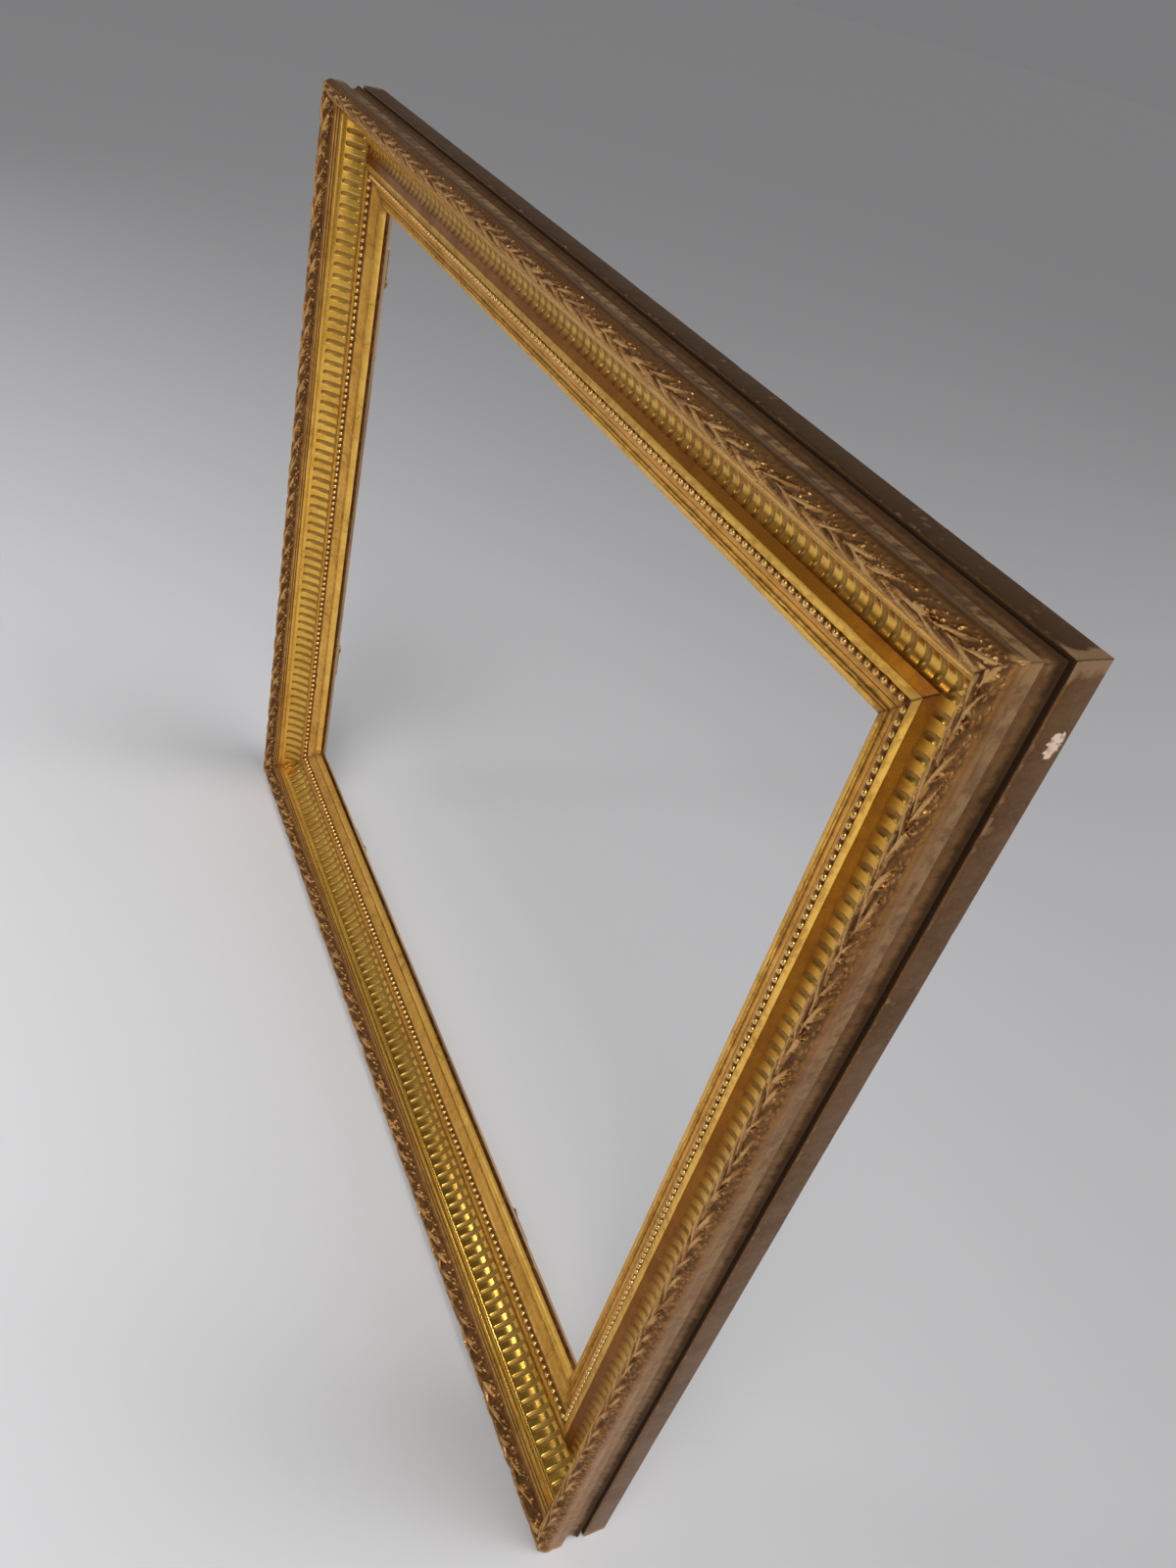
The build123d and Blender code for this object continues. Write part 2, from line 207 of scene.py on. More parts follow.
def hand_metal_effect():
    """Small ironmongery: cloudy tarnish, fine scratches and dark pits."""
    group, given, result = shared_effect(
        "tarnished_metal", {"Place": "vector", "Bright": "colour", "Dull": "colour"},
        {"Colour": "colour", "Roughness": "float", "Height": "float"})
    cloud = grain(group, given["Place"], 190.0, 4.0, 0.65)
    scratch = grain(group, stretch(group, given["Place"], 1.0, 6.0, 0.08), 900.0, 2.0)
    pits = rise(group, grain(group, given["Place"], 1100.0, 1.0), 0.66, 0.74)
    share = sum_up(group, "MULTIPLY_ADD", scratch, 0.3, sum_up(group, "MULTIPLY", cloud, 0.8))
    colour = blend(group, rise(group, share, 0.4, 0.75), given["Bright"], given["Dull"])
    colour = blend(group, sum_up(group, "MULTIPLY", pits, 0.6), colour, (0.03, 0.02, 0.012, 1.0))
    rough = sum_up(group, "MULTIPLY_ADD", scratch, 0.12, 0.14)
    rough = sum_up(group, "MULTIPLY_ADD", cloud, 0.35, rough, clamp=True)
    height = sum_up(group, "MULTIPLY_ADD", scratch, 0.4, sum_up(group, "MULTIPLY", pits, -0.8))
    hand_out(group, result, Colour=colour, Roughness=rough, Height=height)
    return group


aged_gilding = gilding_effect()
aged_pine = pine_effect()
tarnished_metal = hand_metal_effect()


def new_material(name):
    material = bpy.data.materials.new(name)
    material.use_nodes = True
    tree = material.node_tree
    return material, tree, tree.nodes["Principled BSDF"]


def join_surface(tree, surface, effect, bump, strength):
    """The effect's colour, roughness and bumps on the surface."""
    tree.links.new(effect.outputs["Colour"], surface.inputs["Base Color"])
    tree.links.new(effect.outputs["Roughness"], surface.inputs["Roughness"])
    bumped = put(tree, "ShaderNodeBump",
                 {"Height": effect.outputs["Height"], "Distance": bump, "Strength": strength})
    tree.links.new(bumped.outputs[0], surface.inputs["Normal"])


def gilded(name, leaf, deep, bole, dirt_and_shade, rub, grime_and_shade, cracks, polish,
           strength=0.3, amber_shade=0.0, amber_shade_until=None):
    """Old gilding, with a dark amber of painted shade and reflection over all of it, or up to a distance
    across the section.
    """
    material, tree, surface = new_material(name)
    surface.inputs["Specular IOR Level"].default_value = 0.25
    bar = put(tree, "ShaderNodeAttribute", attribute_name="bar").outputs["Vector"]
    edge = put(tree, "ShaderNodeAttribute", attribute_name="edge").outputs["Fac"]
    effect = put(tree, "ShaderNodeGroup", node_tree=aged_gilding)
    tree.links.new(bar, effect.inputs["Bar"])
    tree.links.new(edge, effect.inputs["Edge"])
    for socket, colour in (("Leaf", leaf), ("Deep", deep), ("Bole", bole), ("Dirt", dirt_and_shade)):
        effect.inputs[socket].default_value = (*colour, 1.0)
    values = (("Amber shade", amber_shade), ("Rub", rub), ("Grime", grime_and_shade), ("Cracks", cracks), ("Polish", polish))
    for socket, value in values:
        effect.inputs[socket].default_value = value
    if amber_shade_until:
        across = put(tree, "ShaderNodeSeparateXYZ", {0: bar}).outputs[1]
        tree.links.new(rise(tree, across, amber_shade_until, 0.0), effect.inputs["Amber shade"])
    tree.links.new(effect.outputs["Metal"], surface.inputs["Metallic"])
    join_surface(tree, surface, effect, 0.0002, strength)
    return material


def chipped(name, whole, centre, size):
    """A gilded material with one chip, where the pale gesso shows."""
    material = whole.copy()
    material.name = name
    tree = material.node_tree
    surface = tree.nodes["Principled BSDF"]
    bar = put(tree, "ShaderNodeAttribute", attribute_name="bar").outputs["Vector"]
    ragged = put(tree, "ShaderNodeTexNoise", {"Vector": bar, "Scale": 700.0, "Detail": 3.0}).outputs[1]
    # The noise moves the chip's outline by up to this much, in metres.
    reach = 0.004
    moved = put(tree, "ShaderNodeVectorMath", {0: ragged, 1: (reach, reach, 0.0), 2: bar},
                operation="MULTIPLY_ADD").outputs[0]
    moved_centre = (centre[0] + reach / 2, centre[1] + reach / 2, 0.0)
    offset = put(tree, "ShaderNodeVectorMath", {0: moved, 1: moved_centre}, operation="SUBTRACT").outputs[0]
    offset = stretch(tree, offset, 1 / size[0], 1 / size[1], 0.0)
    far = put(tree, "ShaderNodeVectorMath", {0: offset}, operation="LENGTH").outputs["Value"]
    bare = rise(tree, far, 1.05, 0.9)
    soiled = rise(tree, grain(tree, bar, 480.0, 3.0), 0.46, 0.64)
    pale = blend(tree, soiled, (0.80, 0.61, 0.48, 1.0), (0.50, 0.33, 0.23, 1.0))
    for socket, gesso in (("Base Color", pale), ("Metallic", 0.0), ("Roughness", 0.85)):
        covered = surface.inputs[socket].links[0].from_socket
        if socket == "Base Color":
            mixed = blend(tree, bare, covered, gesso)
        else:
            mixed = put(tree, "ShaderNodeMix", {0: bare, 2: covered, 3: gesso}).outputs[0]
        tree.links.new(mixed, surface.inputs[socket])
    return material


def pine(name, pale, dark, turned=False):
    """Bare wood with its grain level, or turned to stand upright."""
    material, tree, surface = new_material(name)
    place = put(tree, "ShaderNodeTexCoord").outputs["Object"]
    if turned:
        place = put(tree, "ShaderNodeMapping", {"Vector": place, "Rotation": (0.0, pi / 2, 0.0)}).outputs[0]
    effect = put(tree, "ShaderNodeGroup", node_tree=aged_pine)
    tree.links.new(place, effect.inputs["Along"])
    effect.inputs["Pale"].default_value = (*pale, 1.0)
    effect.inputs["Dark"].default_value = (*dark, 1.0)
    join_surface(tree, surface, effect, 0.0003, 0.35)
    return material


def ironmongery(name, bright, dull):
    """Old brass or steel fittings."""
    material, tree, surface = new_material(name)
    place = put(tree, "ShaderNodeTexCoord").outputs["Object"]
    effect = put(tree, "ShaderNodeGroup", node_tree=tarnished_metal)
    tree.links.new(place, effect.inputs["Place"])
    effect.inputs["Bright"].default_value = (*bright, 1.0)
    effect.inputs["Dull"].default_value = (*dull, 1.0)
    surface.inputs["Metallic"].default_value = 1.0
    join_surface(tree, surface, effect, 0.0001, 0.25)
    return material


# Colours: the leaf, the leaf where it is deeper in tone, what shows where it is rubbed, and the dirt, which
# also paints the shade that some pieces set in their recesses.
bole_red = (0.20, 0.052, 0.018)
soot = (0.035, 0.018, 0.007)
umber = (0.11, 0.055, 0.016)
finishes = {
    "burnished": gilded("burnished_gold", (0.82, 0.46, 0.085), (0.64, 0.32, 0.048),
                        bole_red, (0.12, 0.06, 0.014),
                        rub=0.3, grime_and_shade=0.6, cracks=0.25, polish=0.26),
    "fillet": gilded("bright_gold", (0.97, 0.58, 0.11), (0.86, 0.47, 0.07), bole_red, soot,
                     rub=0.35, grime_and_shade=0.6, cracks=0.2, polish=0.28),
    # The band beside the fillet: its dark amber is painted shade and reflection.
    "amber": gilded("amber_gold", (0.84, 0.48, 0.085), (0.66, 0.34, 0.05), bole_red, soot,
                    rub=0.3, grime_and_shade=0.6, cracks=0.2, polish=0.25, amber_shade=1.0),
    # The cove's inner edge takes the same painted amber shade, fading out across it.
    "cove": gilded("cove_gold", (0.84, 0.49, 0.09), (0.67, 0.35, 0.052),
                   bole_red, (0.16, 0.09, 0.026),
                   rub=0.0, grime_and_shade=0.65, cracks=0.25, polish=0.2, strength=0.2, amber_shade_until=0.006),
    "lip": gilded("lip_gold", (0.96, 0.58, 0.12), (0.78, 0.43, 0.07), bole_red, umber,
                  rub=0.5, grime_and_shade=0.8, cracks=0.4, polish=0.4),
    "hollow": gilded("hollow_gold", (0.86, 0.47, 0.10), (0.64, 0.33, 0.056), bole_red, umber,
                     rub=0.4, grime_and_shade=0.8, cracks=0.4, polish=0.42),
    # The bead dirt colour also paints the shade in the gaps between the beads.
    "pearl": gilded("bead_gold", (0.95, 0.62, 0.22), (0.78, 0.46, 0.13),
                    bole_red, (0.17, 0.075, 0.03),
                    rub=0.1, grime_and_shade=0.95, cracks=0.1, polish=0.24),
    "copper": gilded("reed_copper", (0.60, 0.32, 0.085), (0.42, 0.20, 0.05), bole_red, soot,
                     rub=0.3, grime_and_shade=0.85, cracks=0.2, polish=0.42),
    # The leaf's rubbed colour is gold worn through on the raised strands, made bright enough to act as
    # painted highlight too.
    "leaf": gilded("leaf_bronze", (0.46, 0.22, 0.07), (0.31, 0.14, 0.042),
                   (0.86, 0.53, 0.20), (0.05, 0.024, 0.010),
                   rub=0.6, grime_and_shade=0.85, cracks=0.0, polish=0.34, strength=0.55),
    "bronze": gilded("band_bronze", (0.34, 0.175, 0.068), (0.23, 0.112, 0.04),
                     (0.58, 0.36, 0.17), (0.04, 0.019, 0.008),
                     rub=0.6, grime_and_shade=0.85, cracks=0.2, polish=0.42, strength=0.4),
    "rail": gilded("rail_bronze", (0.25, 0.13, 0.054), (0.17, 0.083, 0.032),
                   (0.48, 0.30, 0.16), (0.035, 0.017, 0.008),
                   rub=0.7, grime_and_shade=0.8, cracks=0.2, polish=0.42, strength=0.4),
    "maroon": gilded("sight_side_bole", (0.13, 0.04, 0.018), (0.07, 0.02, 0.009),
                     (0.42, 0.2, 0.06), soot,
                     rub=0.35, grime_and_shade=0.6, cracks=0.3, polish=0.5, strength=0.4),
    "pine across": pine("bare_pine_level", (0.50, 0.33, 0.17), (0.24, 0.135, 0.06)),
    "pine upright": pine("bare_pine_upright", (0.50, 0.33, 0.17), (0.24, 0.135, 0.06), turned=True),
    "key": pine("key_hardwood", (0.33, 0.19, 0.09), (0.15, 0.075, 0.03), turned=True),
    "brass": ironmongery("old_brass", (0.55, 0.36, 0.13), (0.22, 0.13, 0.05)),
    "steel": ironmongery("nail_steel", (0.33, 0.31, 0.29), (0.10, 0.06, 0.04)),
}
# The chip on the right rail, along its pattern and round its section, in metres.
chip_centre = (2.779, 0.0490)
chip_size = (0.0044, 0.0025)
finishes["chipped rail"] = chipped("chipped_rail_bronze", finishes["rail"], chip_centre, chip_size)


# Sections

def bow(start, end, bulge, count):
    """Points from start up to, but not at, end, bowed to the left by bulge."""
    points = []
    span = (end[0] - start[0], end[1] - start[1])
    size = hypot(*span)
    for step in range(count):
        share = step / count
        lift = 4 * bulge * share * (1 - share) / size
        points.append((start[0] + span[0] * share - span[1] * lift,
                       start[1] + span[1] * share + span[0] * lift))
    return points


def laid_round(*runs):
    """A closed section as (out, up, finish): the finish is that of the stretch after the point."""
    return [(out, up, finish) for finish, points in runs for out, up in points]


sharp_turn = radians(28)


def softened(section, radius):
    """The section with every sharp corner worn to a small round."""
    count = len(section)
    points = []
    for number, (out, up, finish) in enumerate(section):
        before = section[number - 1]
        after = section[(number + 1) % count]
        into = Vector((out - before[0], up - before[1]))
        away = Vector((after[0] - out, after[1] - up))
        if into.angle(away) < sharp_turn:
            points.append((out, up, finish))
            continue
        reach = min(radius, 0.4 * into.length, 0.4 * away.length)
        corner = Vector((out, up))
        start = corner - into.normalized() * reach
        end = corner + away.normalized() * reach
        middle = (start + end) / 4 + corner / 2
        points += [(*start, before[2]), (*middle, finish), (*end, finish)]
    return points


# A turn this great within this many millimetres counts as a full ridge or hollow.
full_turn = radians(75)
turn_reach = 0.9


def edge_values(section):
    """How far each point is a ridge, up to 1, or a hollow, down to -1."""
    points = np.array([point[:2] for point in section])
    into = points - np.roll(points, 1, axis=0)
    away = np.roll(points, -1, axis=0) - points
    turn = np.arctan2(into[:, 0] * away[:, 1] - into[:, 1] * away[:, 0], (into * away).sum(axis=1))
    turn *= np.sign(turn.sum())
    apart = np.linalg.norm(points[:, None] - points[None], axis=2)
    near = np.clip(1 - apart / turn_reach, 0, 1)
    return np.clip((near * turn[None]).sum(axis=1) / full_turn, -1, 1)


slip_section = softened(laid_round(
    ("maroon", [(0.0, 4.5)]),
    ("lip", bow((0.0, 6.8), (3.9, 9.8), 0.8, 12)),
    ("lip", [(3.9, 9.8), (3.95, 9.3), (4.5, 9.3), (4.5, 10.4), (5.5, 10.4)]),
    ("hollow", bow((5.5, 9.9), (7.9, 10.35), -0.12, 5)),
    ("hollow", [(7.9, 10.35), (8.05, 9.95)]),
    ("hollow", bow((8.3, 10.45), (12.1, 13.2), -0.35, 9)),
    ("maroon", [(12.1, 13.2), (12.1, 5.1), (7.3, 5.1), (7.3, 4.5)])), 0.3)

moulding_section = softened(laid_round(
    ("fillet", [(16.1, 11.5), (16.1, 15.0), (16.1, 15.7), (19.2, 15.7)]),
    ("amber", [(19.2, 15.4)]),
    ("burnished", [(23.0, 14.6), (23.0, 11.5), (38.3, 11.5)]),
    ("burnished", bow((38.3, 25.1), (39.8, 27.2), 0.5, 7)),
    ("burnished", [(39.8, 27.2)]),
    ("copper", [(40.5, 27.2)]),
    ("copper", bow((40.55, 27.25), (41.5, 28.5), 0.35, 6)),
    ("copper", bow((41.55, 28.5), (42.5, 29.8), 0.35, 6)),
    ("bronze", [(42.5, 29.8), (52.2, 27.9), (52.2, 23.5)]),
    ("bronze", bow((51.8, 23.5), (51.6, 15.1), -1.9, 12)),
    ("bronze", [(51.6, 15.1), (51.4, 14.6), (50.8, 14.4), (48.5, 14.4), (48.5, 12.2),
                (44.0, 12.2), (44.0, 9.0), (12.1, 9.0), (12.1, 11.5)])), 0.3)

# Where the sections are darkened: on the lines between the reeds, and with painted shade on the wall beside
# the beads inside this out and under this up, in the scotia from this out, growing from this up over so
# much below it, and in the groove over this up on the rail.
reed_lines = ((40.5, 27.2), (41.52, 28.5), (42.5, 29.8))
reed_line_half = 0.3
bead_wall = (16.4, 15.2)
scotia_from = 45.0
scotia_shade = (18.4, 3.2)
rail_groove = 12.0
full_darkening = -0.9

rail_section = softened(laid_round(
    ("pine", [(7.5, 0.1)]),
    ("bronze", [(51.5, 0.1), (52.3, 0.8), (52.3, 11.4), (51.5, 12.2)]),
    ("pine", [(44.0, 12.2), (44.0, 9.0), (12.1, 9.0), (12.1, 5.1), (7.5, 5.1)])), 0.5)

bead_bed_section = softened(laid_round(
    ("pearl", [(12.1, 11.5), (12.1, 13.4), (16.1, 13.4), (16.1, 11.5)])), 0.15)


# Meshes

def stations(length, spacing):
    """Where the sections of a mitred bar stand: a share of the half length, and a distance in metres."""
    near = [0.0004, 0.0009, 0.0016, 0.0024, 0.0034, 0.0046, 0.006, 0.008]
    last = near[-1]
    count = round(length / spacing)
    shares = [2 * step / count - 1 for step in range(count + 1)]
    middle = [(share, -share * last) for share in shares]
    start = [(-1.0, step) for step in near[:-1]]
    end = [(1.0, -step) for step in near[-2::-1]]
    return start + middle + end + [(1.0, 0.0)]


def rounded_corner(along, out, length):
    """The place of a point once the frame's outer corner is rounded off."""
    side = abs(along) - (length / 2 + frame_reach - corner_round) * MM
    end = out - (frame_reach - corner_round) * MM
    far = hypot(side, end)
    if side <= 0 or end <= 0 or far <= corner_round * MM:
        return along, out
    pull = 1 - corner_round * MM / far
    return along - side * pull * (1 if along > 0 else -1), out - end * pull


def side_place(side):
    """The matrix that puts a bar, made round the sight edge, in its side of the frame."""
    centre = Matrix.Translation((0, 0, sight_centre * MM))
    turn = Matrix.Rotation(radians(side_turns[side]), 4, "Y")
    return centre @ turn @ Matrix.Translation((0, 0, side_distances[side] * MM))


# Unevenness as turns in a metre and size in metres. Chips, on ridges of this edge value or more, as turns
# in a metre, the noise that they start from, and the deepest in millimetres.
waver = (8.0, 0.00016)
ripple = (40.0, 0.00005)
ridge_from = 0.25
chip_turns = (150.0, 420.0)
chip_from = 0.42
deepest_chip = 0.9


def hand_worked(bm, chips):
    """Slight unevenness, the same for neighbours that touch, and chips on the ridges."""
    edge = bm.verts.layers.float["edge"]
    bm.normal_update()
    for vert in bm.verts:
        place = vert.co.copy()
        vert.co += (noise.noise_vector(place * waver[0]) * waver[1]
                    + noise.noise_vector(place * ripple[0]) * ripple[1])
        if chips and vert[edge] > ridge_from:
            bite = noise.noise(place * chip_turns[0]) + 0.5 * noise.noise(place * chip_turns[1]) - chip_from
            if bite > 0:
                vert.co -= vert.normal * min(bite * chips * MM, deepest_chip * MM)


def finished_piece(bm, name, piece_finishes, nodes, crease=40.0):
    """The mesh as an object that rides on the frame and stands for its CAD nodes."""
    bmesh.ops.recalc_face_normals(bm, faces=bm.faces)
    for face in bm.faces:
        face.smooth = True
    for edge in bm.edges:
        edge.smooth = len(edge.link_faces) != 2 or edge.calc_face_angle() < radians(crease)
    mesh = bpy.data.meshes.new(name)
    bm.to_mesh(mesh)
    bm.free()
    for finish in piece_finishes:
        mesh.materials.append(finishes[finish])
    piece = bpy.data.objects.new(name, mesh)
    bpy.context.scene.collection.objects.link(piece)
    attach(piece, "frame")
    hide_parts(*nodes)


def mitred_bar(section, side, spacing, finish_order):
    """A section drawn out along one side of the frame and closed at its two mitres."""
    length = side_lengths[side]
    edges_round = edge_values(section)
    points = np.array([point[:2] for point in section])
    steps = np.linalg.norm(np.diff(points, axis=0), axis=1)
    travelled = np.concatenate([[0.0], np.cumsum(steps)])
    bm = bmesh.new()
    bar = bm.verts.layers.float_vector.new("bar")
    edge = bm.verts.layers.float.new("edge")
    ring = [bm.verts.new((-(length / 2 + out) * MM, -up * MM, out * MM)) for out, up, _ in section]
    count = len(ring)
    drawn = [bm.edges.new((ring[number], ring[(number + 1) % count])) for number in range(count)]
    place = {(vert.co.y, vert.co.z): number for number, vert in enumerate(ring)}
    for share, offset in stations(length, spacing):
        pulled = bmesh.ops.extrude_edge_only(bm, edges=drawn)["geom"]
        drawn = [item for item in pulled if isinstance(item, bmesh.types.BMEdge) and item.is_boundary]
        for vert in (item for item in pulled if isinstance(item, bmesh.types.BMVert)):
            vert.co.x = share * (length / 2 * MM + vert.co.z) + offset
    numbers = {vert: place[(vert.co.y, vert.co.z)] for vert in bm.verts}
    for face in bm.faces:
        low, high = sorted({numbers[vert] for vert in face.verts})
        face.material_index = finish_order.index(section[low if high - low == 1 else high][2])
    bmesh.ops.holes_fill(bm, edges=[item for item in bm.edges if item.is_boundary])
    bmesh.ops.recalc_face_normals(bm, faces=bm.faces)
    for vert in bm.verts:
        number = numbers[vert]
        mitre = length / 2 * MM + vert.co.z - abs(vert.co.x)
        vert[bar] = (vert.co.x + pattern_starts[side], travelled[number] * MM, mitre)
        vert[edge] = edges_round[number]
    for vert in bm.verts:
        vert.co.x, vert.co.z = rounded_corner(vert.co.x, vert.co.z, length)
    bmesh.ops.transform(bm, matrix=side_place(side), verts=bm.verts)
    return bm


def section_places(bm, side):
    """Each vertex with its out and up in the side's section."""
    back = side_place(side).inverted()
    return [(vert, (back @ vert.co).z / MM, -vert.co.y / MM) for vert in bm.verts]


def sight_slip(side):
    order = ["lip", "hollow", "maroon"]
    bm = mitred_bar(slip_section, side, 2.0, order)
    hand_worked(bm, chips=0.9)
    finished_piece(bm, f"{side}_lip", order, [f"{side}_sight_slip"])


def moulding(side):
    order = ["burnished", "fillet", "amber", "copper", "bronze"]
    bm = mitred_bar(moulding_section, side, 3.0, order)
    edge = bm.verts.layers.float["edge"]
    # Painted shade on the wall beside the beads and in the lower scotia and its groove; the lines between
    # the reeds are darkened too.
    for vert, out, up in section_places(bm, side):
        if out < bead_wall[0] and up < bead_wall[1]:
            vert[edge] = full_darkening
        elif out > scotia_from and up < scotia_shade[0]:
            vert[edge] = full_darkening * min(1.0, (scotia_shade[0] - up) / scotia_shade[1])
        elif any(hypot(out - line[0], up - line[1]) < reed_line_half for line in reed_lines):
            vert[edge] = full_darkening
    hand_worked(bm, chips=0.5)
    finished_piece(bm, f"{side}_moulded_face", order, [f"{side}_moulding"])


def back_rail(side):
    bare = "pine across" if side in ("top", "bottom") else "pine upright"
    band = "chipped rail" if side == "right" else "rail"
    bm = mitred_bar(rail_section, side, 2.5, ["pine", "bronze"])
    edge = bm.verts.layers.float["edge"]
    # Painted shade on the rail's face in the groove under the moulding.
    for vert, _, up in section_places(bm, side):
        if up > rail_groove:
            vert[edge] = full_darkening
    hand_worked(bm, chips=0.3)
    finished_piece(bm, f"{side}_rail_band", [bare, band], [f"{side}_back_rail"])


def laid_grid(columns, rows):
    """A grid, and for each vertex the numbers of its column and row."""
    bm = bmesh.new()
    bm.verts.layers.float_vector.new("bar")
    bm.verts.layers.float.new("edge")
    bmesh.ops.create_grid(bm, x_segments=columns - 1, y_segments=rows - 1, size=1.0)
    numbers = {}
    for vert in bm.verts:
        column = round((vert.co.x + 1) / 2 * (columns - 1))
        row = round((vert.co.y + 1) / 2 * (rows - 1))
        numbers[vert] = (column, row)
    return bm, numbers


def cut_mitres(bm, length):
    """Both ends cut at 45 degrees, and the underside and ends closed."""
    for end in (1, -1):
        parts = list(bm.verts) + list(bm.edges) + list(bm.faces)
        bmesh.ops.bisect_plane(bm, geom=parts, dist=1e-6, plane_co=(end * length / 2 * MM, 0, 0),
                               plane_no=(end, 0, -1), clear_outer=True)
    open_edges = [item for item in bm.edges if item.is_boundary]
    ends = [item for item in open_edges
            if all(abs(length / 2 * MM + vert.co.z - abs(vert.co.x)) < 2e-6 for vert in item.verts)]
    long_edges = [item for item in open_edges if item not in set(ends)]
    bmesh.ops.bridge_loops(bm, edges=long_edges)
    bmesh.ops.holes_fill(bm, edges=[item for item in bm.edges if item.is_boundary])


# Cove

cove_points = np.array([(23.0, 14.6), (28.3, 13.4), (34.1, 18.6), (36.4, 23.5)])
cove_bottom = 11.5
cove_rim = ((36.9, 24.2), (37.6, 24.75), (38.3, 25.1), (38.3, cove_bottom))
flute_pitch = 6.6
flute_half = 1.5
flute_depth = 0.6
# A flute grows to its full depth over this walk from the cove's inner edge.
flute_growth = 3.0
flute_dirt = -0.85
# The flutes run on this far past the sight opening, and the mitres cut them off.
cove_past_sight = 40.0
flute_columns = [-3.3, -2.4, -1.75, -1.5, -1.2, -0.75, 0.0, 0.75, 1.2, 1.5, 1.75, 2.4]


def cove_rows():
    """Points of the cove's section: out, up, facing, distance walked, and how full the flutes are."""
    chords = np.concatenate([[0.0], np.cumsum(np.linalg.norm(np.diff(cove_points, axis=0), axis=1))])
    curve = [np.polyfit(chords, cove_points[:, axis], 3) for axis in (0, 1)]
    walk = np.linspace(0.0, chords[-1], 15)
    walk = np.sort(np.concatenate([walk, [0.35, 0.75, chords[-1] - 0.3, chords[-1] - 0.75]]))
    rows = [(cove_points[0][0], cove_bottom, 0.0, 1.0, 0.0, 0.0)]
    for step in walk:
        out, up = (np.polyval(part, step) for part in curve)
        slope = np.array([np.polyval(np.polyder(part), step) for part in curve])
        slope /= np.linalg.norm(slope)
        end = min(1.0, sqrt(max(0.0, chords[-1] - 0.2 - step)))
        rows.append((out, up, -slope[1], slope[0], step, end))
    return rows + [(out, up, 0.0, 1.0, chords[-1], 0.0) for out, up in cove_rim]


def cove_strip(side):
    length = side_lengths[side]
    rows = cove_rows()
    flutes = int((length / 2 + cove_past_sight) / flute_pitch) + 1
    places = [(flute * flute_pitch + offset, offset)
              for flute in range(-flutes, flutes + 1) for offset in flute_columns]
    bm, numbers = laid_grid(len(places), len(rows))
    bar = bm.verts.layers.float_vector["bar"]
    edge = bm.verts.layers.float["edge"]
    for vert, (column, row) in numbers.items():
        along, offset = places[column]
        out, up, face_out, face_up, walked, end = rows[row]
        hollowed = end * max(0.0, 1 - (offset / (flute_half * (0.5 + 0.5 * end))) ** 2)
        depth = flute_depth * hollowed * min(1.0, walked / flute_growth)
        vert.co = (along * MM, -(up - depth * face_up) * MM, (out - depth * face_out) * MM)
        mitre = (length / 2 + out - abs(along)) * MM
        vert[bar] = (along * MM + pattern_starts[side], walked * MM, mitre)
        vert[edge] = flute_dirt * min(1.0, 2.5 * hollowed) * min(1.0, walked, 0.5 + walked / 20)
    cut_mitres(bm, length)
    bmesh.ops.transform(bm, matrix=side_place(side), verts=bm.verts)
    hand_worked(bm, chips=0)
    finished_piece(bm, f"{side}_fluted_cove", ["cove"], [f"{side}_cove_strip"])


# Beads

bead_pitch = 4.05
bead_out = 14.1
bead_up = 14.0
bead_half = 1.42
bead_rise = 1.6
bead_from_mitre = 2.5
# Beads take no wear from the mitres, so their pattern counts them as this far off, in metres.
away_from_mitre = 0.02


def bead_strip(side):
    length = side_lengths[side]
    bm = mitred_bar(bead_bed_section, side, 8.0, ["pearl"])
    bar = bm.verts.layers.float_vector["bar"]
    edge = bm.verts.layers.float["edge"]
    # The bed between the beads is darkened all over: painted shade in the gaps.
    for vert in bm.verts:
        vert[edge] = -1.0
    place = side_place(side)
    span = length + 2 * (bead_out - bead_from_mitre)
    last = round(span / bead_pitch)
    for number in range(last + 1):
        sway = noise.noise(Vector((number * 0.83, pattern_starts[side], 0.0)))
        size = 1.0 + 0.06 * sway
        centre = Vector(((number / last - 0.5) * span * MM, -bead_up * MM, (bead_out + 0.08 * sway) * MM))
        shape = Matrix.Diagonal((bead_half * size * MM, bead_rise * MM, bead_half * size * MM, 1.0))
        made = bmesh.ops.create_uvsphere(bm, u_segments=8, v_segments=6, radius=1.0,
                                         matrix=Matrix.Translation(centre) @ shape)["verts"]
        for vert in made:
            rise_share = (-vert.co.y / MM - bead_up) / bead_rise
            vert[bar] = (vert.co.x + pattern_starts[side], vert.co.z, away_from_mitre)
            # Each bead is darker towards its foot: painted shade where it meets the bed.
            vert[edge] = min(0.3, 1.5 * rise_share + 0.2)
        bmesh.ops.transform(bm, matrix=place, verts=made)
    hand_worked(bm, chips=0)
    finished_piece(bm, f"{side}_bead_row", ["pearl"], [f"{side}_bead_strip"], crease=75.0)


# Running leaves

leaf_repeat = 76.0
leaf_bundles = 12
strand_reaches = (15.0, 12.0, 9.2, 6.6, 4.2)
leaf_section = (bow((42.5, 29.8), (49.0, 36.0), 1.3, 20) + bow((49.0, 36.0), (52.6, 30.5), 0.9, 15)
                + bow((52.6, 30.5), (52.2, 27.9), 0.0, 4) + [(52.2, 27.9)])
leaf_step = 0.36
tile_step = 0.1
stroke_parts = 18


def stroke_points(start, bend, tip):
    """Points along a stroke that starts toward its bend and ends at its tip."""
    share = np.linspace(0, 1, stroke_parts + 1)[:, None]
    start, bend, tip = (np.array(point) for point in (start, bend, tip))
    return (1 - share) ** 2 * start + 2 * share * (1 - share) * bend + share ** 2 * tip


